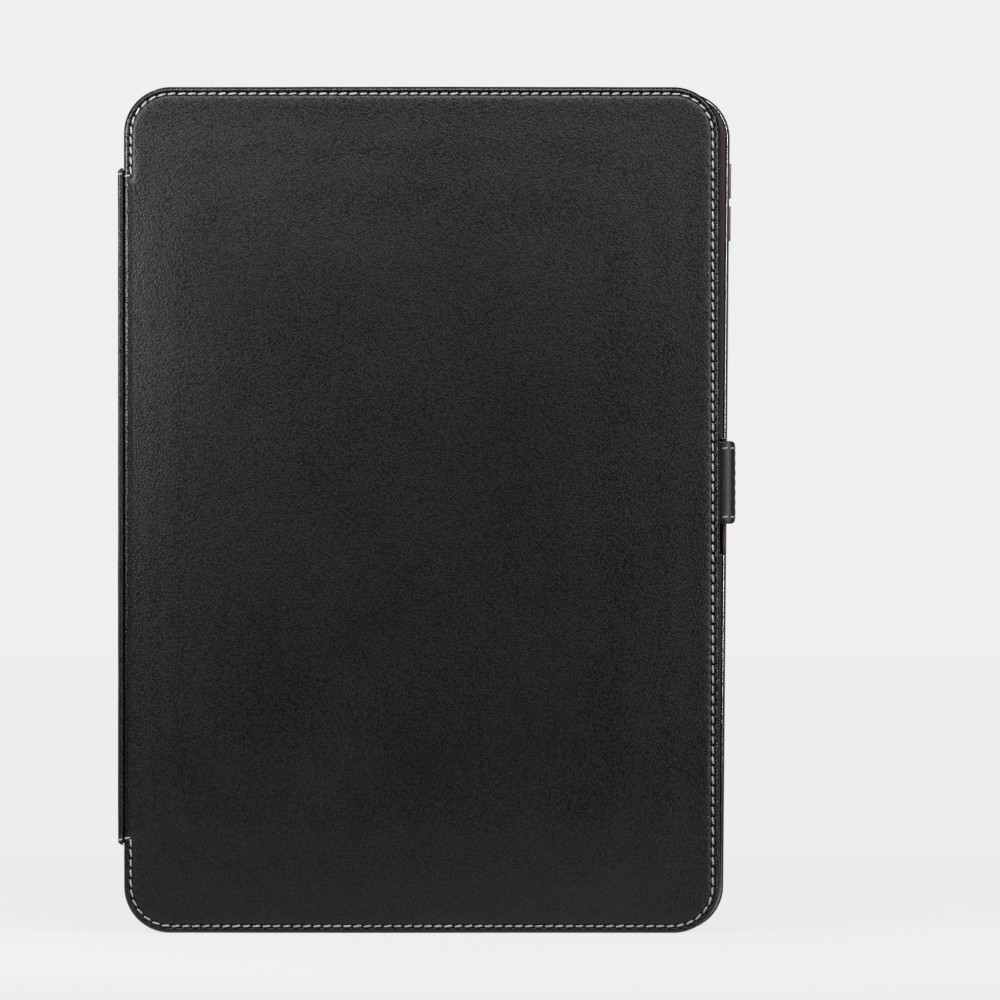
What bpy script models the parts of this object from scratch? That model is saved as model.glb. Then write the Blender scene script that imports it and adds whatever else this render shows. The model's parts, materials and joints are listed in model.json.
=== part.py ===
"""A leather tablet case: front cover, soft spine, back cover with a tray, and a closing strap.

The case is closed and stands upright on the bottom edges of its two covers. The front cover
faces -Y, the spine is at -X and the strap at +X. The origin is the centre of the footprint.
"""
import math

import bmesh
import bpy
from mathutils import Matrix, Vector

MM = 0.001

# The two covers: a shallow leather pan that holds a board and a lining.
COVER_WIDTH = 180.0 * MM
COVER_HEIGHT = 255.6 * MM
COVER_CORNER = 14.0 * MM
COVER_THICKNESS = 3.1 * MM
COVER_EDGE_ROUND = 1.2 * MM
LEATHER_SKIN = 0.9 * MM
LEATHER_TURNED_EDGE = 1.5 * MM
BOARD_THICKNESS = 1.1 * MM
LINING_THICKNESS = 0.6 * MM
LAYER_GAP = 0.25 * MM
EDGE_GAP = 0.3 * MM

# The magnets let into the front board, near its free edge.
WAKE_MAGNET_SIZE = (7.0 * MM, 0.8 * MM, 18.0 * MM)
WAKE_MAGNET_INSET = 12.0 * MM
WAKE_MAGNET_HEIGHTS = {"lower": 62.0 * MM, "upper": 190.0 * MM}

# The whole case.
CASE_THICKNESS = 15.0 * MM
SPINE_STANDS_OUT = 1.8 * MM
STRAP_STANDS_OUT = 4.8 * MM

# The spine: leather and lining with no board.
SPINE_BOTTOM = 26.6 * MM
SPINE_TOP = 231.1 * MM
SPINE_LEATHER = 0.8 * MM
SPINE_LINING = 0.5 * MM
SPINE_END_SETBACK = 0.4 * MM
SPINE_LINING_SETBACK = 1.2 * MM
HINGE_LINE_OUTSIDE_COVER = 0.3 * MM

# The tray. Its own frame is centred on the tablet and leans a little to the right.
TRAY_WIDTH = 181.0 * MM
TRAY_HEIGHT = 253.4 * MM
TRAY_CORNER = 13.6 * MM
TRAY_EDGE_ROUND = 0.45 * MM
TRAY_FLOOR = 1.2 * MM
TRAY_FLOOR_GAP = 0.25 * MM
TRAY_LEAN = math.radians(0.5)
TRAY_RIGHT_OF_COVER_CENTRE = 1.6 * MM
TRAY_CENTRE_HEIGHT = 127.9 * MM
BAY_WIDTH = 178.9 * MM
BAY_HEIGHT = 248.0 * MM
BAY_CORNER = 12.7 * MM
BAY_DEPTH = 6.0 * MM
RIM_BEHIND_COVER = 0.4 * MM
LIP_BEHIND_COVER = 0.5 * MM
LIP_THICKNESS = 0.8 * MM
LIP_WIDTH = 2.1 * MM
LIP_GROOVE = 0.45 * MM

# Openings in the tray, in the tray's own frame.
CAMERA_WINDOW = 32.0 * MM
CAMERA_CORNER = 9.0 * MM
CAMERA_FROM_BAY_EDGES = 21.2 * MM
PORT_LENGTH = 13.0 * MM
PORT_HEIGHT = 5.6 * MM
SOUND_SLOT_LENGTH = 28.0 * MM
SOUND_SLOT_HEIGHT = 2.4 * MM
LOWER_SLOTS_FROM_CENTRE = 50.0 * MM
UPPER_SLOTS_FROM_CENTRE = 30.0 * MM
SIDE_WINDOW_BOTTOM = -12.9 * MM
SIDE_WINDOW_TOP = 22.3 * MM
SIDE_WINDOW_DEPTH = 4.5 * MM

# The button covers, in the tray's own frame.
BUTTON_LENGTH = 10.6 * MM
BUTTON_WIDTH = 3.0 * MM
BUTTON_STANDS_OUT = 0.6 * MM
BUTTON_GAP = 0.3 * MM
BUTTON_ROUND = 0.2 * MM
VOLUME_UP_HEIGHT = 100.3 * MM
VOLUME_DOWN_HEIGHT = 87.4 * MM
POWER_BUTTON_FROM_CENTRE = 66.0 * MM

# The closing strap: a root sewn inside the cover and a tab that folds over the side.
STRAP_WIDTH = 25.0 * MM
STRAP_CENTRE_HEIGHT = 136.1 * MM
STRAP_ROOT_OVERLAP = 17.0 * MM
STRAP_ROOT_THICKNESS = 0.9 * MM
STRAP_HINGE_GAP = 0.65 * MM
STRAP_CORNER = 2.5 * MM
TAB_THICKNESS = 2.3 * MM
TAB_SKIN = 0.8 * MM
TAB_TURNED_EDGE = 1.2 * MM
TAB_MAGNET_SIZE = (0.6 * MM, 4.4 * MM, 18.0 * MM)
TAB_LINING = 0.5 * MM
TAB_LAYER_GAP = 0.2 * MM
TAB_BEFORE_BACK = 0.6 * MM

# Places worked out from the sizes above.
FRONT_FACE = -CASE_THICKNESS / 2
BACK_FACE = CASE_THICKNESS / 2
CASE_WIDTH = SPINE_STANDS_OUT + COVER_WIDTH + STRAP_STANDS_OUT
COVER_LEFT = SPINE_STANDS_OUT - CASE_WIDTH / 2
COVER_RIGHT = COVER_LEFT + COVER_WIDTH
COVER_CENTRE = COVER_LEFT + COVER_WIDTH / 2
COVER_INSIDE = FRONT_FACE + COVER_THICKNESS
BACK_INSIDE = BACK_FACE - COVER_THICKNESS
HINGE_LINE = COVER_LEFT - HINGE_LINE_OUTSIDE_COVER
TRAY_FRONT = COVER_INSIDE + RIM_BEHIND_COVER
TRAY_BACK = BACK_INSIDE - LAYER_GAP
BAY_BACK = TRAY_BACK - TRAY_FLOOR
BAY_FRONT = BAY_BACK - BAY_DEPTH
BAY_MIDDLE = (BAY_FRONT + BAY_BACK) / 2
LIP_FRONT = COVER_INSIDE + LIP_BEHIND_COVER
SIDE_WALL = (TRAY_WIDTH - BAY_WIDTH) / 2
END_WALL = (TRAY_HEIGHT - BAY_HEIGHT) / 2
STRAP_ROOT_FRONT = COVER_INSIDE + LAYER_GAP
STRAP_HINGE_Y = STRAP_ROOT_FRONT + STRAP_ROOT_THICKNESS / 2
STRAP_HINGE_X = COVER_RIGHT + STRAP_STANDS_OUT - TAB_THICKNESS / 2

CORNER_STEPS = 12
SMALL_CORNER_STEPS = 6
OVERCUT = 2.0 * MM


def clear_scene():
    for item in list(bpy.data.objects):
        bpy.data.objects.remove(item, do_unlink=True)


def new_collection(name):
    collection = bpy.data.collections.new(name)
    bpy.context.scene.collection.children.link(collection)
    return collection


def new_material(name, colour, roughness, metallic=0.0):
    material = bpy.data.materials.new(name)
    material.use_nodes = True
    shader = material.node_tree.nodes["Principled BSDF"]
    shader.inputs["Base Color"].default_value = (*colour, 1.0)
    shader.inputs["Roughness"].default_value = roughness
    shader.inputs["Metallic"].default_value = metallic
    return material


def rounded_outline(width, height, radius, steps):
    """The corners of a rounded rectangle about the origin, anticlockwise from the right."""
    points = []
    across = width / 2 - radius
    up = height / 2 - radius
    for quarter, (x, z) in enumerate([(across, up), (-across, up), (-across, -up), (across, -up)]):
        for step in range(steps + 1):
            angle = (quarter + step / steps) * math.pi / 2
            points.append((x + radius * math.cos(angle), z + radius * math.sin(angle)))
    return points


def curve_to_mesh(guide, name):
    """Turn a filled flat curve into a closed mesh object and remove the curve."""
    depsgraph = bpy.context.evaluated_depsgraph_get()
    mesh = bpy.data.meshes.new_from_object(guide.evaluated_get(depsgraph))
    edit = bmesh.new()
    edit.from_mesh(mesh)
    bmesh.ops.remove_doubles(edit, verts=edit.verts, dist=0.000001)
    edit.to_mesh(mesh)
    edit.free()
    made = bpy.data.objects.new(name, mesh)
    made.matrix_world = guide.matrix_world
    bpy.data.objects.remove(guide, do_unlink=True)
    return made


def plate(name, width, height, radius, thickness, collection, steps=CORNER_STEPS, faces="Y"):
    """A rounded plate about the origin: width by height, standing up, facing along Y or X."""
    outline = bpy.data.curves.new(name + "_outline", "CURVE")
    outline.dimensions = "2D"
    outline.fill_mode = "BOTH"
    outline.extrude = thickness / 2
    spline = outline.splines.new("POLY")
    corners = rounded_outline(width, height, radius, steps)
    spline.points.add(len(corners) - 1)
    for point, (x, z) in zip(spline.points, corners):
        point.co = (x, z, 0.0, 1.0)
    spline.use_cyclic_u = True
    guide = bpy.data.objects.new(name + "_outline", outline)
    bpy.context.scene.collection.objects.link(guide)
    made = curve_to_mesh(guide, name)
    made.data.transform(Matrix.Rotation(math.pi / 2, 4, "X"))
    if faces == "X":
        made.data.transform(Matrix.Rotation(math.pi / 2, 4, "Z"))
    collection.objects.link(made)
    return made


def box(name, size, collection):
    mesh = bpy.data.meshes.new(name)
    edit = bmesh.new()
    bmesh.ops.create_cube(edit, size=1.0)
    bmesh.ops.scale(edit, vec=Vector(size), verts=edit.verts)
    edit.to_mesh(mesh)
    edit.free()
    made = bpy.data.objects.new(name, mesh)
    collection.objects.link(made)
    return made


def round_edges(item, width, segments=3):
    bevel = item.modifiers.new("rounded edges", "BEVEL")
    bevel.width = width
    bevel.segments = segments
    bevel.limit_method = "ANGLE"
    bevel.angle_limit = math.radians(60)


def shade_round(item):
    item.data.shade_smooth()
    item.data.set_sharp_from_angle(angle=math.radians(40))


def cut(item, cutter):
    hole = item.modifiers.new("cut " + cutter.name, "BOOLEAN")
    hole.operation = "DIFFERENCE"
    hole.solver = "EXACT"
    hole.object = cutter
    cutter.hide_render = True
    cutter.display_type = "WIRE"


def finish(item, material, parent, place):
    """Give a piece its material and put it at place, measured from its parent."""
    item.data.materials.clear()
    item.data.materials.append(material)
    item.parent = parent
    item.location = place
    return item


def empty(name, collection, place, parent=None):
    made = bpy.data.objects.new(name, None)
    made.empty_display_size = 0.01
    made.parent = parent
    made.location = place
    collection.objects.link(made)
    return made


def between(low, high):
    return (low + high) / 2


def cover_pan(name, inner_side, parts, cutters, material, parent, origin, y_middle):
    """A cover's leather: a rounded plate with a pocket open to inner_side (+1 is +Y, -1 is -Y)."""
    pan = plate(name, COVER_WIDTH, COVER_HEIGHT, COVER_CORNER, COVER_THICKNESS, parts)
    shade_round(pan)
    round_edges(pan, COVER_EDGE_ROUND)
    place = Vector((COVER_CENTRE, y_middle, COVER_HEIGHT / 2)) - origin
    finish(pan, material, parent, place)
    inset = 2 * LEATHER_TURNED_EDGE
    pocket = plate(
        name + "_pocket",
        COVER_WIDTH - inset,
        COVER_HEIGHT - inset,
        COVER_CORNER - LEATHER_TURNED_EDGE,
        COVER_THICKNESS,
        cutters,
    )
    pocket.parent = parent
    pocket.location = place + Vector((0, inner_side * LEATHER_SKIN, 0))
    cut(pan, pocket)
    return pan


def cover_layer(name, thickness, y_low, parts, material, parent, origin):
    """A board or lining that lies in a cover's pocket."""
    inset = LEATHER_TURNED_EDGE + EDGE_GAP
    layer = plate(
        name,
        COVER_WIDTH - 2 * inset,
        COVER_HEIGHT - 2 * inset,
        COVER_CORNER - inset,
        thickness,
        parts,
    )
    place = Vector((COVER_CENTRE, y_low + thickness / 2, COVER_HEIGHT / 2)) - origin
    return finish(layer, material, parent, place)


def make_front_cover(parts, cutters, leather, board, lining, magnet, hinge, hinge_place):
    cover_pan(
        "front_leather", 1, parts, cutters, leather, hinge, hinge_place,
        FRONT_FACE + COVER_THICKNESS / 2,
    )
    board_front = FRONT_FACE + LEATHER_SKIN + LAYER_GAP
    front_board = cover_layer(
        "front_board", BOARD_THICKNESS, board_front, parts, board, hinge, hinge_place
    )
    cover_layer(
        "front_lining", LINING_THICKNESS, COVER_INSIDE - LINING_THICKNESS, parts, lining,
        hinge, hinge_place,
    )
    for level, height in WAKE_MAGNET_HEIGHTS.items():
        bar = box("wake_magnet_" + level, WAKE_MAGNET_SIZE, parts)
        place = Vector((COVER_RIGHT - WAKE_MAGNET_INSET, board_front + BOARD_THICKNESS / 2, height))
        finish(bar, magnet, hinge, place - hinge_place)
        seat_size = [side + 2 * EDGE_GAP for side in WAKE_MAGNET_SIZE]
        seat_size[1] = BOARD_THICKNESS + OVERCUT
        seat = box("magnet_seat_" + level, seat_size, cutters)
        seat.parent = hinge
        seat.location = place - hinge_place
        cut(front_board, seat)


def make_strap_root(parts, leather, hinge, hinge_place):
    left = COVER_RIGHT - STRAP_ROOT_OVERLAP
    right = STRAP_HINGE_X - STRAP_HINGE_GAP
    root = plate(
        "strap_root", right - left, STRAP_WIDTH, STRAP_ROOT_THICKNESS / 3,
        STRAP_ROOT_THICKNESS, parts, SMALL_CORNER_STEPS,
    )
    place = Vector((between(left, right), STRAP_HINGE_Y, STRAP_CENTRE_HEIGHT))
    finish(root, leather, hinge, place - hinge_place)


def make_strap_tab(parts, cutters, leather, magnet, lining, hinge, hinge_place):
    front = STRAP_HINGE_Y + STRAP_HINGE_GAP
    back = BACK_FACE - TAB_BEFORE_BACK
    length = back - front
    middle = Vector((STRAP_HINGE_X, between(front, back), STRAP_CENTRE_HEIGHT)) - hinge_place
    tab = plate(
        "strap_tab_leather", length, STRAP_WIDTH, STRAP_CORNER, TAB_THICKNESS, parts,
        SMALL_CORNER_STEPS, "X",
    )
    shade_round(tab)
    round_edges(tab, TAB_SKIN / 2, 2)
    finish(tab, leather, hinge, middle)
    inset = 2 * TAB_TURNED_EDGE
    pocket_corner = STRAP_CORNER - TAB_TURNED_EDGE
    pocket = plate(
        "tab_pocket", length - inset, STRAP_WIDTH - inset, pocket_corner, TAB_THICKNESS,
        cutters, SMALL_CORNER_STEPS, "X",
    )
    pocket.parent = hinge
    pocket.location = middle - Vector((TAB_SKIN, 0, 0))
    cut(tab, pocket)
    inset += 2 * EDGE_GAP
    liner = plate(
        "strap_tab_lining", length - inset, STRAP_WIDTH - inset, pocket_corner - EDGE_GAP,
        TAB_LINING, parts, SMALL_CORNER_STEPS, "X",
    )
    inner_face = middle.x - TAB_THICKNESS / 2
    finish(liner, lining, hinge, (inner_face + TAB_LINING / 2, middle.y, middle.z))
    bar = box("strap_tab_magnet", TAB_MAGNET_SIZE, parts)
    bar_x = inner_face + TAB_LINING + TAB_LAYER_GAP + TAB_MAGNET_SIZE[0] / 2
    finish(bar, magnet, hinge, (bar_x, middle.y, middle.z))


def make_spine(parts, leather, lining, hinge, hinge_place):
    height = SPINE_TOP - SPINE_BOTTOM
    centre_height = between(SPINE_TOP, SPINE_BOTTOM)
    outside = COVER_LEFT - SPINE_STANDS_OUT
    depth = CASE_THICKNESS - 2 * SPINE_END_SETBACK
    skin = plate(
        "spine_leather", depth, height, SPINE_LEATHER, SPINE_LEATHER, parts,
        SMALL_CORNER_STEPS, "X",
    )
    shade_round(skin)
    round_edges(skin, SPINE_LEATHER / 4, 2)
    place = Vector((outside + SPINE_LEATHER / 2, 0, centre_height))
    finish(skin, leather, hinge, place - hinge_place)
    depth = CASE_THICKNESS - 2 * SPINE_LINING_SETBACK
    liner = plate(
        "spine_lining", depth, height - 2 * LEATHER_TURNED_EDGE, SPINE_LINING, SPINE_LINING,
        parts, SMALL_CORNER_STEPS, "X",
    )
    place.x = outside + SPINE_LEATHER + LAYER_GAP + SPINE_LINING / 2
    finish(liner, lining, hinge, place - hinge_place)


def make_back_cover(parts, cutters, leather, board, lining, camera_window):
    origin = Vector((0, 0, 0))
    pan = cover_pan(
        "back_leather", -1, parts, cutters, leather, None, origin,
        BACK_FACE - COVER_THICKNESS / 2,
    )
    board_back = BACK_FACE - LEATHER_SKIN - LAYER_GAP
    stiffener = cover_layer(
        "back_board", BOARD_THICKNESS, board_back - BOARD_THICKNESS, parts, board, None, origin
    )
    liner = cover_layer(
        "back_lining", LINING_THICKNESS, BACK_INSIDE, parts, lining, None, origin
    )
    for layer in (pan, stiffener, liner):
        cut(layer, camera_window)


def tray_slot(name, length, height, through, x, z, collection, tray, faces="Z"):
    """A round-ended bar that goes through an end wall of the tray (Z) or a side wall (X)."""
    slot = plate(name, length, height, height / 2, through, collection, SMALL_CORNER_STEPS)
    slot.data.transform(Matrix.Rotation(math.pi / 2, 4, "X"))
    if faces == "X":
        slot.data.transform(Matrix.Rotation(math.pi / 2, 4, "Y"))
    slot.parent = tray
    slot.location = (x, BAY_MIDDLE, z)
    return slot


def make_tray(parts, cutters, frame_plastic, lip_plastic, tray, camera_window):
    """The tray is a frame around the tablet, a floor panel inside the frame and a soft lip."""
    thickness = TRAY_BACK - TRAY_FRONT
    frame = plate("tray_frame", TRAY_WIDTH, TRAY_HEIGHT, TRAY_CORNER, thickness, parts)
    shade_round(frame)
    round_edges(frame, TRAY_EDGE_ROUND, 2)
    finish(frame, frame_plastic, tray, (0, between(TRAY_FRONT, TRAY_BACK), 0))
    bay = plate("bay", BAY_WIDTH, BAY_HEIGHT, BAY_CORNER, thickness + 2 * OVERCUT, cutters)
    bay.parent = tray
    bay.location = (0, between(TRAY_FRONT, TRAY_BACK), 0)
    cut(frame, bay)

    floor_width = BAY_WIDTH - 2 * TRAY_FLOOR_GAP
    floor_height = BAY_HEIGHT - 2 * TRAY_FLOOR_GAP
    floor_corner = BAY_CORNER - TRAY_FLOOR_GAP
    floor = plate("tray_floor", floor_width, floor_height, floor_corner, TRAY_FLOOR, parts)
    finish(floor, frame_plastic, tray, (0, BAY_BACK + TRAY_FLOOR / 2, 0))
    cut(floor, camera_window)

    lip_width = BAY_WIDTH - 2 * LIP_GROOVE
    lip_height = BAY_HEIGHT - 2 * LIP_GROOVE
    lip_corner = BAY_CORNER - LIP_GROOVE
    lip = plate("tray_lip", lip_width, lip_height, lip_corner, LIP_THICKNESS, parts)
    shade_round(lip)
    lip_y = LIP_FRONT + LIP_THICKNESS / 2
    finish(lip, lip_plastic, tray, (0, lip_y, 0))
    inside = plate(
        "lip_inside", lip_width - 2 * LIP_WIDTH, lip_height - 2 * LIP_WIDTH,
        lip_corner - LIP_WIDTH, LIP_THICKNESS + OVERCUT, cutters,
    )
    inside.parent = tray
    inside.location = (0, lip_y, 0)
    cut(lip, inside)

    window_height = SIDE_WINDOW_TOP - SIDE_WINDOW_BOTTOM
    window_depth = SIDE_WINDOW_DEPTH + OVERCUT
    window_width = SIDE_WALL + LIP_GROOVE + LIP_WIDTH + 2 * OVERCUT
    side_window = box("side_window", (window_width, window_depth, window_height), cutters)
    side_window.parent = tray
    side_window.location = (
        TRAY_WIDTH / 2 + OVERCUT - window_width / 2,
        TRAY_FRONT + SIDE_WINDOW_DEPTH - window_depth / 2,
        between(SIDE_WINDOW_TOP, SIDE_WINDOW_BOTTOM),
    )
    cut(frame, side_window)
    cut(lip, side_window)

    end = between(TRAY_HEIGHT, BAY_HEIGHT) / 2
    through = END_WALL + OVERCUT
    cut(frame, tray_slot("port", PORT_LENGTH, PORT_HEIGHT, through, 0, -end, cutters, tray))
    for level, x, z in (
        ("upper", UPPER_SLOTS_FROM_CENTRE, end),
        ("lower", LOWER_SLOTS_FROM_CENTRE, -end),
    ):
        for side, sign in (("left", -1), ("right", 1)):
            slot = tray_slot(
                "sound_slot_%s_%s" % (level, side), SOUND_SLOT_LENGTH, SOUND_SLOT_HEIGHT,
                through, sign * x, z, cutters, tray,
            )
            cut(frame, slot)
    return frame


def make_buttons(parts, cutters, material, tray, frame):
    """The button covers fill windows in the tray's wall and stand a little proud of it."""
    side_x = between(TRAY_WIDTH, BAY_WIDTH) / 2
    end_z = between(TRAY_HEIGHT, BAY_HEIGHT) / 2
    buttons = {
        "volume_up_cover": (side_x, VOLUME_UP_HEIGHT, SIDE_WALL, "X"),
        "volume_down_cover": (side_x, VOLUME_DOWN_HEIGHT, SIDE_WALL, "X"),
        "power_button_cover": (POWER_BUTTON_FROM_CENTRE, end_z, END_WALL, "Z"),
    }
    for name, (x, z, wall, faces) in buttons.items():
        window = tray_slot(
            name + "_window", BUTTON_LENGTH + 2 * BUTTON_GAP, BUTTON_WIDTH + 2 * BUTTON_GAP,
            wall + OVERCUT / 2, x, z, cutters, tray, faces,
        )
        cut(frame, window)
        button = tray_slot(
            name, BUTTON_LENGTH, BUTTON_WIDTH, wall + BUTTON_STANDS_OUT, x, z, parts, tray, faces
        )
        shade_round(button)
        round_edges(button, BUTTON_ROUND, 2)
        out = BUTTON_STANDS_OUT / 2
        place = (x + out, BAY_MIDDLE, z) if faces == "X" else (x, BAY_MIDDLE, z + out)
        finish(button, material, tray, place)


def make_camera_window(cutters, tray):
    window = plate(
        "camera_window", CAMERA_WINDOW, CAMERA_WINDOW, CAMERA_CORNER,
        2 * (BACK_FACE - BAY_BACK) + 2 * OVERCUT, cutters,
    )
    window.parent = tray
    window.location = (
        BAY_WIDTH / 2 - CAMERA_FROM_BAY_EDGES,
        BACK_FACE,
        BAY_HEIGHT / 2 - CAMERA_FROM_BAY_EDGES,
    )
    return window


def main():
    clear_scene()
    parts = new_collection("tablet_case")
    cutters = new_collection("cutters")

    leather = new_material("black grained leather", (0.022, 0.022, 0.022), 0.45)
    board = new_material("grey board", (0.25, 0.24, 0.22), 0.9)
    lining = new_material("black microfibre", (0.02, 0.02, 0.021), 0.95)
    magnet = new_material("plated magnet", (0.6, 0.6, 0.58), 0.3, 1.0)
    frame_plastic = new_material("black moulded shell", (0.012, 0.012, 0.012), 0.25)
    lip_plastic = new_material("brown-black soft lip", (0.05, 0.035, 0.032), 0.6)

    spine_place = Vector((HINGE_LINE, BACK_FACE, 0))
    spine_hinge = empty("spine_hinge", parts, spine_place)
    cover_place = Vector((HINGE_LINE, FRONT_FACE, 0))
    cover_hinge = empty("cover_hinge", parts, cover_place - spine_place, spine_hinge)
    strap_place = Vector((STRAP_HINGE_X, STRAP_HINGE_Y, STRAP_CENTRE_HEIGHT))
    strap_hinge = empty("strap_hinge", parts, strap_place - cover_place, cover_hinge)
    tray_place = Vector((COVER_CENTRE + TRAY_RIGHT_OF_COVER_CENTRE, 0, TRAY_CENTRE_HEIGHT))
    tray = empty("tray_centre", parts, tray_place)
    tray.rotation_euler.y = TRAY_LEAN

    make_front_cover(parts, cutters, leather, board, lining, magnet, cover_hinge, cover_place)
    make_strap_root(parts, leather, cover_hinge, cover_place)
    make_strap_tab(parts, cutters, leather, magnet, lining, strap_hinge, strap_place)
    make_spine(parts, leather, lining, spine_hinge, spine_place)
    camera_window = make_camera_window(cutters, tray)
    make_back_cover(parts, cutters, leather, board, lining, camera_window)
    frame = make_tray(parts, cutters, frame_plastic, lip_plastic, tray, camera_window)
    make_buttons(parts, cutters, frame_plastic, tray, frame)
    bpy.context.view_layer.update()


main()
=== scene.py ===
import json
import math
import random

import bmesh
import bpy
import numpy as np
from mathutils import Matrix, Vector, noise


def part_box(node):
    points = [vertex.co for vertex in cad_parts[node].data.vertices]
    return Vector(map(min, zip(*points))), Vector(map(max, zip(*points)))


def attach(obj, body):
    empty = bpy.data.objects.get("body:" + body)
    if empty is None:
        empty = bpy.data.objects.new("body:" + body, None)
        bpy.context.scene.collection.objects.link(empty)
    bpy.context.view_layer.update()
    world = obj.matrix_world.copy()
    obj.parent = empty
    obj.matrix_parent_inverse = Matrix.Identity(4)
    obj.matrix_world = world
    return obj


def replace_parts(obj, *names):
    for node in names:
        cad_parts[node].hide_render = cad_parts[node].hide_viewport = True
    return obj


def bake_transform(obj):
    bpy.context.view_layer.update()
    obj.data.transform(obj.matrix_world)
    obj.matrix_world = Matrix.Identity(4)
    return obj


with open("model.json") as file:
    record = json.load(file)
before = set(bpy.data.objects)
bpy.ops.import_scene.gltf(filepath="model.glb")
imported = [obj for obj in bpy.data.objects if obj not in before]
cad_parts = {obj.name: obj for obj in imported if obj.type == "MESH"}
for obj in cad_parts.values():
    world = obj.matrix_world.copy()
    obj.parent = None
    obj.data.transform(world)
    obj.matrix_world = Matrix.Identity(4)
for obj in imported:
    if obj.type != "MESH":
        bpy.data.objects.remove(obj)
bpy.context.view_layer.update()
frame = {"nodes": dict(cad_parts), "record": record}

MM = 0.001

# Sewing: stitches lie in a valley a little inside the edge of each cover.
STITCH_PITCH = 3.05 * MM
STITCH_INSET = 2.1 * MM
THREAD_RADIUS = 0.28 * MM
HOLE_SHARE = 0.32  # how much of the pitch lies hidden in the holes
STITCH_RISE = 0.26 * MM  # how high a thread stands
LOW_RISE = 0.04 * MM  # the same where two bodies fold together
PER_STITCH = 6  # mesh columns to a stitch
NOTCH_BOTTOM = 28.7 * MM
NOTCH_TOP = 228.7 * MM

# The covers and the tray.
COVER_CORNER = 14.0 * MM
EDGE_ROUND = 1.25 * MM
CROWN = 1.3 * MM  # how far the middle of a cover stands out from its edges
TRAY_LEAN = math.radians(0.5)
# Where the rows of points lie across a cover's bead and stitches, in mm from its edge.
BEAD_INSETS = (1.42, 1.6, 1.76, 1.9, 2.0, 2.1, 2.2, 2.3, 2.45, 2.65, 2.9, 3.25, 3.7, 4.3, 5.2, 6.6)

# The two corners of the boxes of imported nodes, at rest.
FRONT_LOW, FRONT_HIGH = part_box("front_leather")
BACK_LOW, BACK_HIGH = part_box("back_leather")
SPINE_LOW, SPINE_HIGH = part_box("spine_leather")
ROOT_LOW, ROOT_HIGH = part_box("strap_root")
TAB_LOW, TAB_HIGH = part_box("strap_tab_leather")
OPENINGS = {hole["name"]: hole["box_m"] for hole in frame["record"]["physics"]["openings"]}


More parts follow.
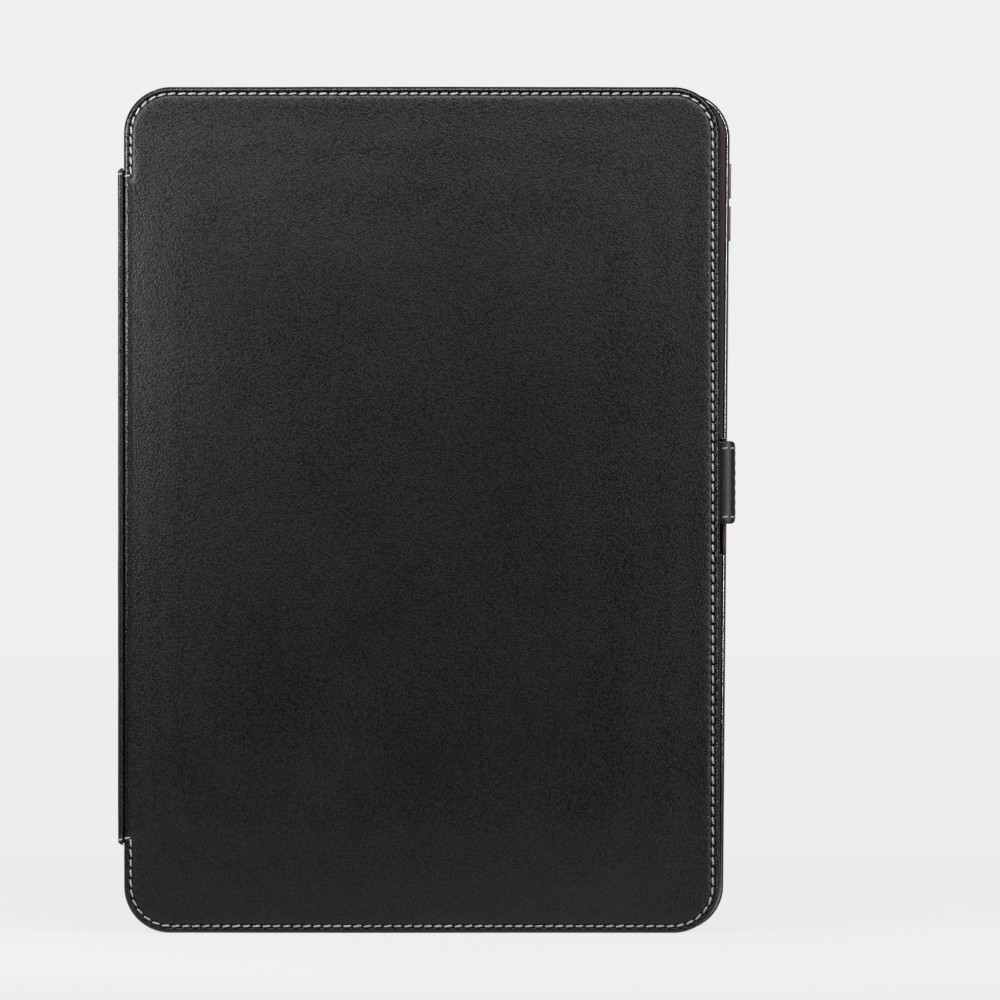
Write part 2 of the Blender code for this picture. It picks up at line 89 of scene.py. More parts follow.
# ---------------------------------------------------------------- node helpers
class Nodes:
    """A short way to build a material's nodes."""

    def __init__(self, name):
        self.material = bpy.data.materials.new(name)
        self.material.use_nodes = True
        self.tree = self.material.node_tree
        self.shader = self.tree.nodes["Principled BSDF"]
        self.place = self.add("ShaderNodeTexCoord").outputs["Object"]

    def add(self, kind, **settings):
        node = self.tree.nodes.new(kind)
        for key, value in settings.items():
            setattr(node, key, value)
        return node

    def link(self, source, target):
        self.tree.links.new(source, target)

    def stretched(self, scale, turn=(0, 0, 0)):
        """Coordinates scaled and turned, so that a pattern runs one way."""
        mapping = self.add("ShaderNodeMapping")
        mapping.inputs["Scale"].default_value = scale
        mapping.inputs["Rotation"].default_value = turn
        self.link(self.place, mapping.inputs["Vector"])
        return mapping.outputs["Vector"]

    def noise(self, scale, detail=3.0, vector=None, roughness=0.55, distortion=0.0):
        node = self.add("ShaderNodeTexNoise")
        node.inputs["Scale"].default_value = scale
        node.inputs["Detail"].default_value = detail
        node.inputs["Roughness"].default_value = roughness
        node.inputs["Distortion"].default_value = distortion
        self.link(vector or self.place, node.inputs["Vector"])
        return node.outputs["Fac"]

    def cells(self, scale, vector=None, feature="F1", randomness=1.0, smoothness=None):
        node = self.add("ShaderNodeTexVoronoi", feature=feature)
        node.inputs["Scale"].default_value = scale
        node.inputs["Randomness"].default_value = randomness
        if smoothness is not None:
            node.inputs["Smoothness"].default_value = smoothness
        self.link(vector or self.place, node.inputs["Vector"])
        return node.outputs["Distance"]

    def remap(self, value, low, high, to_low, to_high):
        node = self.add("ShaderNodeMapRange")
        for socket, number in (
            ("From Min", low), ("From Max", high), ("To Min", to_low), ("To Max", to_high)
        ):
            node.inputs[socket].default_value = number
        self.link(value, node.inputs["Value"])
        return node.outputs["Result"]

    def math(self, operation, a, b):
        node = self.add("ShaderNodeMath", operation=operation)
        for socket, value in zip(node.inputs, (a, b)):
            if isinstance(value, (int, float)):
                socket.default_value = value
            else:
                self.link(value, socket)
        return node.outputs["Value"]

    def warped(self, amount, scale, vector):
        """Coordinates pushed about by noise, so that a pattern is not regular."""
        push = self.add("ShaderNodeTexNoise")
        push.inputs["Scale"].default_value = scale
        push.inputs["Detail"].default_value = 2.0
        self.link(vector, push.inputs["Vector"])
        mix = self.add("ShaderNodeMixRGB", blend_type="LINEAR_LIGHT")
        mix.inputs["Fac"].default_value = amount
        self.link(vector, mix.inputs["Color1"])
        self.link(push.outputs["Color"], mix.inputs["Color2"])
        return mix.outputs["Color"]

    def colour(self, factor, *stops):
        ramp = self.add("ShaderNodeValToRGB")
        elements = ramp.color_ramp.elements
        while len(elements) < len(stops):
            elements.new(0.5)
        for element, (position, rgb) in zip(elements, stops):
            element.position = position
            element.color = (*rgb, 1.0)
        self.link(factor, ramp.inputs["Fac"])
        self.link(ramp.outputs["Color"], self.shader.inputs["Base Color"])

    def roughness(self, value):
        self.link(value, self.shader.inputs["Roughness"])

    def bump(self, *layers):
        """Layers of (height, depth in metres), each on top of the one before."""
        normal = None
        for height, depth in layers:
            node = self.add("ShaderNodeBump")
            node.inputs["Strength"].default_value = 1.0
            node.inputs["Distance"].default_value = depth
            self.link(height, node.inputs["Height"])
            if normal is not None:
                self.link(normal, node.inputs["Normal"])
            normal = node.outputs["Normal"]
        self.link(normal, self.shader.inputs["Normal"])

    def set(self, **values):
        for key, value in values.items():
            self.shader.inputs[key.replace("_", " ")].default_value = value


# ---------------------------------------------------------------- materials
def leather_material(name, grain=1.0, relief=1.0):
    """Black full-grain leather: domed pebbles with creases between, and a broad soft sheen."""
    m = Nodes(name)
    grown = m.stretched((1.0, 1.0, 0.72), (0.0, math.radians(24), 0.0))
    pebble = m.cells(2350.0 / grain, m.warped(0.0001, 1100.0, grown), "SMOOTH_F1", 0.9, 0.2)
    pulled = m.stretched((1.0, 1.0, 0.45), (0.0, math.radians(38), 0.0))
    crease = m.noise(420.0, 3.0, pulled, roughness=0.6)
    pores = m.noise(5200.0, 2.0)
    cloud = m.noise(28.0, 3.0)
    # The base colour is darkest in the valleys between the pebbles and lightest on their domed tops:
    # painted shade in the valleys, standing in for how the grain's relief catches light. The cloud term is
    # the leather's own uneven tone.
    tone = m.math("ADD", m.remap(pebble, 0.15, 0.65, 0.9, 0.05), m.remap(cloud, 0.3, 0.7, -0.1, 0.1))
    valley, slope, top = (0.0003, 0.0003, 0.0003), (0.0022, 0.0021, 0.002), (0.008, 0.0077, 0.0074)
    m.colour(tone, (0.0, valley), (0.5, slope), (1.0, top))
    wear = m.add("ShaderNodeAttribute", attribute_name="edge_wear").outputs["Fac"]
    worn = m.math("ADD", m.remap(wear, 0.0, 1.0, 0.0, -0.15), m.remap(cloud, 0.3, 0.7, -0.02, 0.02))
    m.roughness(m.math("ADD", m.remap(pebble, 0.1, 0.7, 0.49, 0.38), worn))
    dome = m.remap(pebble, 0.0, 0.9, 1.0, 0.0)
    m.bump((crease, 0.000025 * relief), (dome, 0.00008 * relief), (pores, 0.000008))
    m.set(Specular_IOR_Level=0.36)
    return m.material


def lining_material():
    """Black microfibre: a short brushed nap in soft patches."""
    m = Nodes("black_microfibre")
    fibre = m.noise(3800.0, 3.0, m.stretched((1.0, 1.0, 0.35)))
    patch = m.noise(60.0, 4.0, roughness=0.6, distortion=0.4)
    m.colour(patch, (0.3, (0.012, 0.012, 0.013)), (0.7, (0.024, 0.024, 0.026)))
    m.roughness(m.remap(fibre, 0.3, 0.7, 0.8, 0.98))
    m.bump((fibre, 0.00008), (patch, 0.0003))
    m.set(Sheen_Weight=0.35, Sheen_Roughness=0.45, Specular_IOR_Level=0.3)
    return m.material


def thread_material():
    """Light grey polyester thread, with its fibres and a little grime."""
    m = Nodes("light_thread")
    fibre = m.noise(4200.0, 3.0)
    grime = m.noise(170.0, 2.0)
    m.colour(grime, (0.3, (0.2, 0.2, 0.197)), (0.72, (0.28, 0.28, 0.277)))
    m.roughness(m.remap(fibre, 0.3, 0.7, 0.5, 0.75))
    m.bump((fibre, 0.00006))
    m.set(Sheen_Weight=0.2)
    return m.material


def shell_material():
    """Glossy black moulded plastic, with faint flow marks and hairline scratches."""
    m = Nodes("black_shell")
    flow = m.noise(45.0, 3.0, roughness=0.5, distortion=0.6)
    hair = m.noise(900.0, 5.0, m.stretched((1.0, 1.0, 0.04), (0.0, math.radians(20), 0.0)))
    m.colour(flow, (0.35, (0.008, 0.008, 0.008)), (0.7, (0.014, 0.013, 0.013)))
    m.roughness(m.remap(hair, 0.35, 0.75, 0.12, 0.22))
    m.bump((flow, 0.00005), (hair, 0.000004))
    m.set(Specular_IOR_Level=0.6, Coat_Weight=1.0, Coat_Roughness=0.14, Coat_IOR=2.3)
    return m.material


def frame_material():
    """Satin black moulded plastic: the tray's walls, a little duller than its rim."""
    m = Nodes("black_frame")
    grain = m.noise(2400.0, 3.0)
    rub = m.noise(70.0, 3.0)
    m.colour(rub, (0.3, (0.006, 0.006, 0.006)), (0.7, (0.012, 0.0115, 0.011)))
    m.roughness(m.math("ADD", m.remap(grain, 0.3, 0.7, 0.5, 0.62), m.remap(rub, 0.3, 0.7, -0.05, 0.05)))
    m.bump((grain, 0.00003))
    m.set(Specular_IOR_Level=0.3)
    return m.material


def floor_panel_material():
    """The tray's floor: a fine spark-eroded texture, duller where the tablet rubs it."""
    m = Nodes("textured_panel")
    grain = m.noise(2600.0, 3.0)
    rub = m.noise(30.0, 3.0)
    m.colour(rub, (0.3, (0.012, 0.012, 0.012)), (0.7, (0.02, 0.0195, 0.019)))
    m.roughness(m.math("ADD", m.remap(grain, 0.3, 0.7, 0.42, 0.6), m.remap(rub, 0.3, 0.7, -0.05, 0.05)))
    m.bump((grain, 0.00006))
    return m.material


def lip_material(name, light=1.0):
    """The soft brown-black lip: matte rubber with a fine satin texture. A light above 1 gives a lighter
    copy of the same rubber, which is painted light.
    """
    m = Nodes(name)
    grain = m.noise(3000.0, 2.0)
    tone = m.noise(55.0, 3.0)
    # light scales both colours; a copy with light above 1 is painted light, the same rubber made lighter
    # to stand in for light on a shaded place.
    dark = [light * part for part in (0.016, 0.0105, 0.0095)]
    pale = [light * part for part in (0.024, 0.0165, 0.015)]
    m.colour(tone, (0.3, dark), (0.7, pale))
    m.roughness(m.remap(grain, 0.3, 0.7, 0.6, 0.78))
    m.bump((grain, 0.00004))
    m.set(Specular_IOR_Level=0.2)
    return m.material


def button_material():
    """Satin brown-grey plastic with a fine moulded grain."""
    m = Nodes("button_plastic")
    grain = m.noise(3600.0, 2.0)
    tone = m.noise(300.0, 2.0)
    m.colour(tone, (0.3, (0.11, 0.095, 0.09)), (0.7, (0.15, 0.13, 0.125)))
    m.roughness(m.remap(grain, 0.3, 0.7, 0.32, 0.5))
    m.bump((grain, 0.00003))
    return m.material


def board_material():
    """Grey stiffener board: pressed fibres and flecks."""
    m = Nodes("grey_board")
    fibre = m.noise(900.0, 5.0, m.stretched((1.0, 1.0, 0.3)))
    fleck = m.cells(500.0)
    tone = m.math("ADD", m.math("MULTIPLY", fibre, 0.7), m.remap(fleck, 0.0, 0.3, 0.0, 0.2))
    m.colour(tone, (0.25, (0.16, 0.15, 0.135)), (0.7, (0.3, 0.29, 0.265)))
    m.roughness(m.remap(fibre, 0.3, 0.7, 0.8, 0.95))
    m.bump((fibre, 0.0001))
    return m.material


def magnet_material():
    """Nickel plating with fine tumbling marks."""
    m = Nodes("nickel_plate")
    mark = m.noise(1400.0, 4.0, m.stretched((1.0, 1.0, 0.1)))
    m.colour(mark, (0.3, (0.5, 0.49, 0.47)), (0.7, (0.66, 0.65, 0.62)))
    m.roughness(m.remap(mark, 0.3, 0.7, 0.2, 0.4))
    m.bump((mark, 0.00001))
    m.set(Metallic=1.0)
    return m.material


# ---------------------------------------------------------------- mesh helpers
def link_mesh(name, points, faces, material, smooth=True):
    """A new piece in the scene, its faces turned outwards."""
    mesh = bpy.data.meshes.new(name)
    mesh.from_pydata([tuple(p) for p in points], [], faces)
    edit = bmesh.new()
    edit.from_mesh(mesh)
    bmesh.ops.recalc_face_normals(edit, faces=edit.faces)
    edit.to_mesh(mesh)
    edit.free()
    if smooth:
        mesh.shade_smooth()
    mesh.materials.append(material)
    made = bpy.data.objects.new(name, mesh)
    bpy.context.scene.collection.objects.link(made)
    return made


def fan_faces(start, count, centre):
    """Triangles from a closed ring to one point."""
    return [(start + i, start + (i + 1) % count, centre) for i in range(count)]


def cap(start, count):
    """One face over a whole ring."""
    return tuple(range(start, start + count))


def ring_faces(rings, count, closed=True):
    """Quads between consecutive rings of count points each."""
    faces = []
    last = count if closed else count - 1
    for ring in range(rings - 1):
        a, b = ring * count, (ring + 1) * count
        for i in range(last):
            j = (i + 1) % count
            faces.append((a + i, a + j, b + j, b + i))
    return faces


def wavy(value, scale, seed):
    """Smooth noise from about -1 to 1 for a point along a line."""
    return noise.noise(Vector((value * scale, seed, 0.0)))


class Edge:
    """The outer edge of a cover, measured along its stitch line from the upper notch at the left,
    over the top, down the right, along the bottom and up to the lower notch, then up the left side."""

    def __init__(self, low, high, radius=COVER_CORNER, inset=STITCH_INSET):
        left, right = low.x, high.x
        bottom, top = low.z, high.z
        self.left = left
        r, q = radius, inset
        arc = (r - q) * math.pi / 2
        self.pieces = [
            ("line", (left, NOTCH_TOP), (0, 1), top - r - NOTCH_TOP),
            ("arc", (left + r, top - r), math.pi, arc),
            ("line", (left + r, top), (1, 0), right - left - 2 * r),
            ("arc", (right - r, top - r), math.pi / 2, arc),
            ("line", (right, top - r), (0, -1), top - bottom - 2 * r),
            ("arc", (right - r, bottom + r), 0.0, arc),
            ("line", (right - r, bottom), (-1, 0), right - left - 2 * r),
            ("arc", (left + r, bottom + r), -math.pi / 2, arc),
            ("line", (left, bottom + r), (0, 1), NOTCH_BOTTOM - bottom - r),
        ]
        self.radius, self.inset = r, q
        self.sewn = sum(piece[3] for piece in self.pieces)
        self.pieces.append(("line", (left, NOTCH_BOTTOM), (0, 1), NOTCH_TOP - NOTCH_BOTTOM))
        self.whole = sum(piece[3] for piece in self.pieces)
        self.stitches = round(self.sewn / STITCH_PITCH)
        self.pitch = self.sewn / self.stitches

    def at(self, along):
        """(point on the outer edge, outward direction) as (x, z) pairs."""
        for kind, start, way, length in self.pieces:
            if along <= length + 1e-12:
                break
            along -= length
        if kind == "line":
            point = (start[0] + way[0] * along, start[1] + way[1] * along)
            return point, (-way[1], way[0])
        angle = way - along / (self.radius - self.inset)
        out = (math.cos(angle), math.sin(angle))
        return (start[0] + self.radius * out[0], start[1] + self.radius * out[1]), out

    def columns(self):
        """Distances along the edge: evenly over the sewn part, then over the plain left side."""
        sewn = [k * self.pitch / PER_STITCH for k in range(self.stitches * PER_STITCH)]
        side = self.whole - self.sewn
        steps = round(side / (1.2 * MM))
        return sewn + [self.sewn + side * k / steps for k in range(steps)]

    def inside(self, along, inset):
        """A point inset from the edge, as (x, z)."""
        (x, z), (nx, nz) = self.at(along)
        return x - nx * inset, z - nz * inset


def bell(away, middle, width):
    """A smooth hump of height 1 round the middle."""
    return math.exp(-(((away - middle) / width) ** 2))


def crown(x, z, low, high):
    """How far a cover's face has risen at a point, from 0 near its edges to 1 in the middle."""
    start = 2.6 * MM
    risen = 1.0
    for away, reach in (
        (x - low.x, 26 * MM), (high.x - x, 52 * MM), (high.z - z, 60 * MM), (z - low.z, 60 * MM)
    ):
        risen = risen * (1 - (1 - np.clip((away - start) / reach, 0, 1)) ** 2)
    return risen


def face_depth(away, phase, ripple, fade):
    """How deep a cover's face lies in mm, at a distance in mm inwards from its stitches."""
    valley = 0.42 * bell(away, 0, 0.66) * fade
    hole = 1.1 * np.clip((phase - 0.3) / 0.7, 0, 1) * bell(away, -0.12, 0.45)
    pucker = phase * (0.045 * bell(away, 0.9, 0.7) + 0.04 * bell(away, -0.75, 0.4))
    rough = 0.04 * ripple * fade * bell(away, 0, 1.6)
    swell = 0.1 * bell(away, 3.2, 2.2) * fade
    return valley + hole + pucker + rough - swell


def make_cover(name, low, high, outward, material, seed):
    """The leather of a cover: an outer face with its beaded edge, stitch valley, stitch holes and
    crown, the turned edge, and the floor of the pocket that holds the board.
    outward is -1 for the front cover and +1 for the back cover."""
    edge = Edge(low, high)
    face_y = low.y if outward < 0 else high.y
    thickness = high.y - low.y
    centre_x, centre_z = (low.x + high.x) / 2, (low.z + high.z) / 2
    along = np.array(edge.columns())
    count = len(along)
    px, pz, nx, nz = np.array([(*spot, *out) for spot, out in map(edge.at, along)]).T
    wobble = np.array([wavy(a, 14.0, seed) * 0.16 + wavy(a, 60.0, seed + 3) * 0.05 for a in along])
    px, pz = px + nx * wobble * MM, pz + nz * wobble * MM
    ripple = np.array([wavy(a, 900.0, seed + 7) for a in along])
    # The valley and its holes fade out beside each notch.
    sewn = along < edge.sewn
    past = np.minimum(along - edge.sewn, edge.whole - along)
    fade = np.where(sewn, 1.0, np.clip(1 - past / (2.5 * MM), 0, 1))
    phase = np.where(sewn, np.cos(2 * math.pi * along / edge.pitch), 0.0)
    rings = []

    def ring(inset, depth):
        y = np.broadcast_to(face_y - outward * depth, px.shape)
        rings.append(np.stack([px - nx * inset, y, pz - nz * inset], 1))

    # From the floor of the pocket, over the turned edge and up the side.
    turned = 1.5 * MM
    for inset, depth in (
        (turned + 0.05 * MM, thickness - 0.9 * MM), (turned + 0.05 * MM, thickness - 0.25 * MM),
        (turned - 0.15 * MM, thickness - 0.03 * MM), (turned - 0.5 * MM, thickness),
        (0.6 * MM, thickness), (0.28 * MM, thickness - 0.1 * MM), (0.08 * MM, thickness - 0.3 * MM),
        (0.0, thickness - 0.6 * MM), (0.0, thickness - 1.2 * MM),
    ):
        ring(inset, depth)
    edge_start = len(rings)
    for a in np.linspace(0, math.pi / 2, 7):
        ring(EDGE_ROUND * (1 - math.cos(a)), EDGE_ROUND * (1 - math.sin(a)))
    face_start = len(rings)
    for inset in BEAD_INSETS:
        ring(inset * MM, face_depth(inset - STITCH_INSET / MM, phase, ripple, fade) * MM)
    last = rings[-1]
    steps = 34
    for step in range(1, steps):
        share = 1 - (step / steps) ** 0.9
        inner = last.copy()
        inner[:, 0] = centre_x + (last[:, 0] - centre_x) * share
        inner[:, 1] = face_y
        inner[:, 2] = centre_z + (last[:, 2] - centre_z) * share
        rings.append(inner)
    points = np.concatenate(rings)
    # Broad unevenness of the leather over its board, and the crown.
    first = face_start * count
    for k in range(first, len(points)):
        x, _, z = points[k]
        soft = noise.noise(Vector((x * 22, z * 22, seed))) * 0.1
        soft += noise.noise(Vector((x * 75, z * 75, seed + 5))) * 0.03
        inner_share = min(1.0, (k - first) / (len(BEAD_INSETS) * count))
        points[k, 1] += outward * soft * inner_share * MM
    points[first:, 1] += outward * CROWN * crown(points[first:, 0], points[first:, 2], low, high)
    faces = ring_faces(len(rings), count)
    faces += fan_faces((len(rings) - 1) * count, count, len(points)) + [cap(0, count)]
    points = np.concatenate([points, [[centre_x, face_y + outward * CROWN, centre_z]]])
    cover = link_mesh(name, points, faces, material)
    # The rounded edge is polished by handling.
    wear = cover.data.attributes.new("edge_wear", "FLOAT", "POINT")
    amounts = np.zeros(len(points))
    amounts[edge_start * count:face_start * count] = 1.0
    wear.data.foreach_set("value", amounts)
    return cover, edge


def stitch_points(start, end, up, sideways, rise, sink):
    """The middle line of one stitch, out of one hole and into the next."""
    line = []
    for share, height in (
        (-0.02, -sink), (0.02, -0.25 * rise), (0.12, 0.55 * rise), (0.3, 0.95 * rise), (0.5, rise),
        (0.7, 0.95 * rise), (0.88, 0.55 * rise), (0.98, -0.25 * rise), (1.02, -sink),
    ):
        line.append(start.lerp(end, share) + up * height + sideways * (share - 0.5))
    return line


def thread_tube(points, faces, line, up, radius):
    """Adds one stitch: a two-ply thread, so its section has two lobes that turn along it."""
    sides, twist, lobe_share, flatness = 10, 1.15, 0.14, 0.85
    base = len(points)
    for k, spot in enumerate(line):
        before, after = line[max(k - 1, 0)], line[min(k + 1, len(line) - 1)]
        way = (after - before).normalized()
        across = way.cross(up).normalized()
        lift = across.cross(way).normalized()
        share = k / (len(line) - 1)
        end = min(1.0, 0.5 + 2.2 * min(share, 1 - share))
        for side in range(sides):
            angle = side / sides * 2 * math.pi
            lobe = 1 + lobe_share * math.cos(2 * (angle - twist * share * 2 * math.pi))
            r = radius * lobe * end
            points.append(spot + across * (math.cos(angle) * r) + lift * (math.sin(angle) * r * flatness))
    faces += [tuple(base + i for i in face) for face in ring_faces(len(line), sides)]
    faces += [cap(base, sides), cap(base + (len(line) - 1) * sides, sides)]


def sew(name, runs, material, radius=THREAD_RADIUS):
    """One mesh of stitches. Each run is (list of (start, end), up, how high the thread stands)."""
    points, faces = [], []
    chance = random.Random(name)
    slope, sink = -0.24 * MM, 0.35 * MM
    for pairs, up, height in runs:
        for start, end in pairs:
            across = (end - start).normalized().cross(up).normalized()
            gap = (end - start) * HOLE_SHARE * chance.uniform(0.85, 1.15)
            slant = across * (slope * chance.uniform(0.6, 1.4))
            rise = height * chance.uniform(0.85, 1.1)
            line = stitch_points(start + gap / 2, end - gap / 2, up, slant, rise, sink)
            thread_tube(points, faces, line, up, radius * chance.uniform(0.94, 1.06))
    made = link_mesh(name, points, faces, material)
    return made


def cover_stitches(edge, y, inset=STITCH_INSET):
    """Start and end of every stitch round a cover."""
    pairs = []
    for k in range(edge.stitches):
        a = edge.inside(k * edge.pitch, inset)
        b = edge.inside((k + 1) * edge.pitch, inset)
        pairs.append((Vector((a[0], y, a[1])), Vector((b[0], y, b[1]))))
    return pairs


def notch_stitches(edge, y):
    """The stitch that turns in at each notch, towards the spine."""
    start_x, end_x = edge.left + STITCH_INSET, edge.left + 0.05 * MM
    return [(Vector((start_x, y, z)), Vector((end_x, y, z))) for z in (NOTCH_TOP, NOTCH_BOTTOM)]


def wrap(name, outer, inner, bottom, top, material, steps, trim=None, sag=0.0, seed=0):
    """A strip with thickness that follows a path seen from above. outer and inner are matching
    points of its two faces, trim shortens it at each point, for rounded corners, and sag is how
    uneven its outer face is."""
    rounding = 6
    points = []
    for k, (o, n) in enumerate(zip(outer, inner)):
        o, n = Vector((*o, 0)), Vector((*n, 0))
        half, middle = (o - n) / 2, (o + n) / 2
        cut = trim[k] if trim else 0.0
        low, high = bottom + cut, top - cut
        r = min(half.length, (high - low) / 2.2)
        turns = [s / rounding * math.pi for s in range(1, rounding)]
        for s in range(steps + 1):
            z = low + r + (high - low - 2 * r) * s / steps
            push = half.normalized() * (sag * noise.noise(Vector((z * 60, k * 0.21, seed))))
            points.append(middle + half + push + Vector((0, 0, z)))
        for a in turns:
            points.append(middle + half * math.cos(a) + Vector((0, 0, high - r + r * math.sin(a))))
        for s in range(steps + 1):
            z = high - r - (high - low - 2 * r) * s / steps
            points.append(middle - half + Vector((0, 0, z)))
        for a in turns:
            points.append(middle - half * math.cos(a) + Vector((0, 0, low + r - r * math.sin(a))))
    count = 2 * (steps + rounding)
    faces = ring_faces(len(outer), count) + [cap(0, count), cap((len(outer) - 1) * count, count)]
    return link_mesh(name, points, faces, material)


def arc(cx, cy, radius, start, end, steps):
    """Points on an arc seen from above, angles in degrees."""
    made = []
    for k in range(steps + 1):
        a = math.radians(start + (end - start) * k / steps)
        made.append((cx + radius * math.cos(a), cy + radius * math.sin(a)))
    return made


def line(a, b, steps):
    """Even points from a towards b, without b itself."""
    return [(a[0] + (b[0] - a[0]) * k / steps, a[1] + (b[1] - a[1]) * k / steps) for k in range(steps)]


# ---------------------------------------------------------------- the object
def make_linings(material):
    """Microfibre inside each cover: a sheet glued down, its edge under the stitches."""
    steps, rows = 260, 22
    for side, outward in (("front", -1), ("back", 1)):
        node = side + "_lining"
        low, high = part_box(node)
        face_y = high.y if outward < 0 else low.y
        edge = Edge(low, high, COVER_CORNER - 1.8 * MM, 0.5 * MM)
        spots = [edge.at(edge.whole * k / steps) for k in range(steps)]
        depth = high.y - low.y
        centre = Vector(((low.x + high.x) / 2, face_y, (low.z + high.z) / 2))
        points = []
        # The cut edge, from the board up to the face.
        for inset, back in (
            (0.3 * MM, depth), (0.0, depth * 0.7), (0.0, 0.12 * MM), (0.12 * MM, 0.03 * MM),
            (0.3 * MM, 0.0), (0.9 * MM, -0.02 * MM),
        ):
            y = face_y + outward * back
            points += [Vector((x - nx * inset, y, z - nz * inset)) for (x, z), (nx, nz) in spots]
        rim = points[-steps:]
        for row in range(1, rows):
            share = 1 - row / rows
            for p in rim:
                x, z = centre.x + (p.x - centre.x) * share, centre.z + (p.z - centre.z) * share
                soft = noise.noise(Vector((x * 30, z * 30, 4 + outward))) * 0.07 * MM
                points.append(Vector((x, face_y + outward * soft, z)))
        faces = ring_faces(len(points) // steps, steps)
        faces += fan_faces(len(points) - steps, steps, len(points)) + [cap(0, steps)]
        sheet = link_mesh(side + "_lining_cloth", points + [centre], faces, material)
        if outward > 0:
            cut_window(sheet)
        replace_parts(sheet, node)
        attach(sheet, side + "_cover")


def rounded_corners(across, up, radius, steps):
    """The four corners of a rounded rectangle, from the upper right round to the lower right."""
    made = []
    for quarter, (sx, sz) in enumerate(((1, 1), (-1, 1), (-1, -1), (1, -1))):
        for step in range(steps + 1):
            a = (quarter + step / steps) * math.pi / 2
            made.append((sx * across + radius * math.cos(a), sz * up + radius * math.sin(a)))
    return made


def leaned(points, x, z):
    """Points of the tray, leaned as it is, round a centre."""
    c, s = math.cos(TRAY_LEAN), math.sin(TRAY_LEAN)
    return [(x + u * c + w * s, z - u * s + w * c) for u, w in points]


def window_outline(grow, steps=10):
    """The camera window's outline in the back cover, grown by a margin, as (x, z) points."""
    low, high = OPENINGS["camera_window"]
    half, radius = 16.0 * MM + grow, 9.0 * MM + grow
    corners = rounded_corners(half - radius, half - radius, radius, steps)
    return leaned(corners, (low[0] + high[0]) / 2, (low[2] + high[2]) / 2)


def cut_window(piece):
    """Cut the camera window through a piece of the back cover."""
    outline = window_outline(0.0)
    count = len(outline)
    clear = 4 * MM
    points = [(x, y, z) for y in (BACK_LOW.y - clear, BACK_HIGH.y + clear) for x, z in outline]
    faces = ring_faces(2, count) + [cap(0, count), cap(count, count)]
    cutter = link_mesh("window_cutter", points, faces, piece.data.materials[0], False)
    hole = piece.modifiers.new("window", "BOOLEAN")
    hole.object = cutter
    hole.solver = "EXACT"
    depsgraph = bpy.context.evaluated_depsgraph_get()
    cut_mesh = bpy.data.meshes.new_from_object(piece.evaluated_get(depsgraph))
    piece.modifiers.clear()
    piece.data = cut_mesh
    bpy.data.objects.remove(cutter, do_unlink=True)
    piece.data.set_sharp_from_angle(angle=math.radians(50))


def cover_runs(edge, outside, inside, outward):
    """The rows of stitches of a cover: outside, inside, and the low ones at the notches."""
    out = Vector((0, outward, 0))
    seat = outside - outward * 0.12 * MM
    return [
        (cover_stitches(edge, seat), out, STITCH_RISE),
        (cover_stitches(edge, inside, STITCH_INSET + 0.2 * MM), -out, STITCH_RISE),
        (notch_stitches(edge, seat), out, LOW_RISE), (notch_stitches(edge, inside), -out, LOW_RISE),
    ]


def make_covers(leather, thread):
    """Both covers' leather, each with its stitches inside and out."""
    for side, low, high, outward, seed in (
        ("front", FRONT_LOW, FRONT_HIGH, -1, 2.0), ("back", BACK_LOW, BACK_HIGH, 1, 9.0)
    ):
        body = side + "_cover"
        cover, edge = make_cover(body + "_leather", low, high, outward, leather, seed)
        if outward > 0:
            cut_window(cover)
        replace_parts(cover, side + "_leather")
        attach(cover, body)
        outside, inside = (low.y, high.y) if outward < 0 else (high.y, low.y)
        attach(sew(body + "_stitching", cover_runs(edge, outside, inside, outward), thread), body)


def make_window_edge(leather, thread):
    """The turned leather edge of the camera window, and the stitches round it."""
    floor_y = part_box("tray_floor")[0].y + 0.2 * MM
    face_y = BACK_HIGH.y
    # Each ring: how far the window is grown, y, and how much of the crown it follows.
    profile = [(0.0, floor_y, 0.0), (-0.25 * MM, floor_y, 0.0), (-0.3 * MM, face_y - 0.8 * MM, 1.0)]
    bead = 0.5 * MM
    for k in range(7):
        a = math.pi - k / 6 * math.pi
        profile.append((0.2 * MM + bead * math.cos(a), face_y - 0.25 * MM + bead * math.sin(a), 1.0))
    profile += [(0.7 * MM, face_y - 0.9 * MM, 1.0), (0.05 * MM, face_y - 0.9 * MM, 0.0)]

    def risen(x, z):
        return CROWN * float(crown(x, z, BACK_LOW, BACK_HIGH))

    points = []
    for grow, y, share in profile + profile[:1]:
        points += [Vector((x, y + share * risen(x, z), z)) for x, z in window_outline(grow, 14)]
    rings = len(profile) + 1
    rim = link_mesh("camera_window_edge", points, ring_faces(rings, len(points) // rings), leather)
    weld(rim)
    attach(rim, "back_cover")
    # The row stops where the cover's own stitching runs close beside the window.
    limit = BACK_HIGH.x - STITCH_INSET - 1.2 * MM
    row = window_outline(2.4 * MM, 24)
    path = [Vector((x, face_y + risen(x, z) + 0.04 * MM, z)) for x, z in row]
    pairs = [pair for pair in along_path(path, True) if max(pair[0].x, pair[1].x) < limit]
    runs = [(pairs, Vector((0, 1, 0)), STITCH_RISE)]
    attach(sew("camera_window_stitching", runs, thread), "back_cover")


def weld(piece):
    """Join the points where a piece's last ring meets its first, or a row closes on itself."""
    edit = bmesh.new()
    edit.from_mesh(piece.data)
    bmesh.ops.remove_doubles(edit, verts=edit.verts, dist=0.002 * MM)
    bmesh.ops.recalc_face_normals(edit, faces=edit.faces)
    edit.to_mesh(piece.data)
    edit.free()


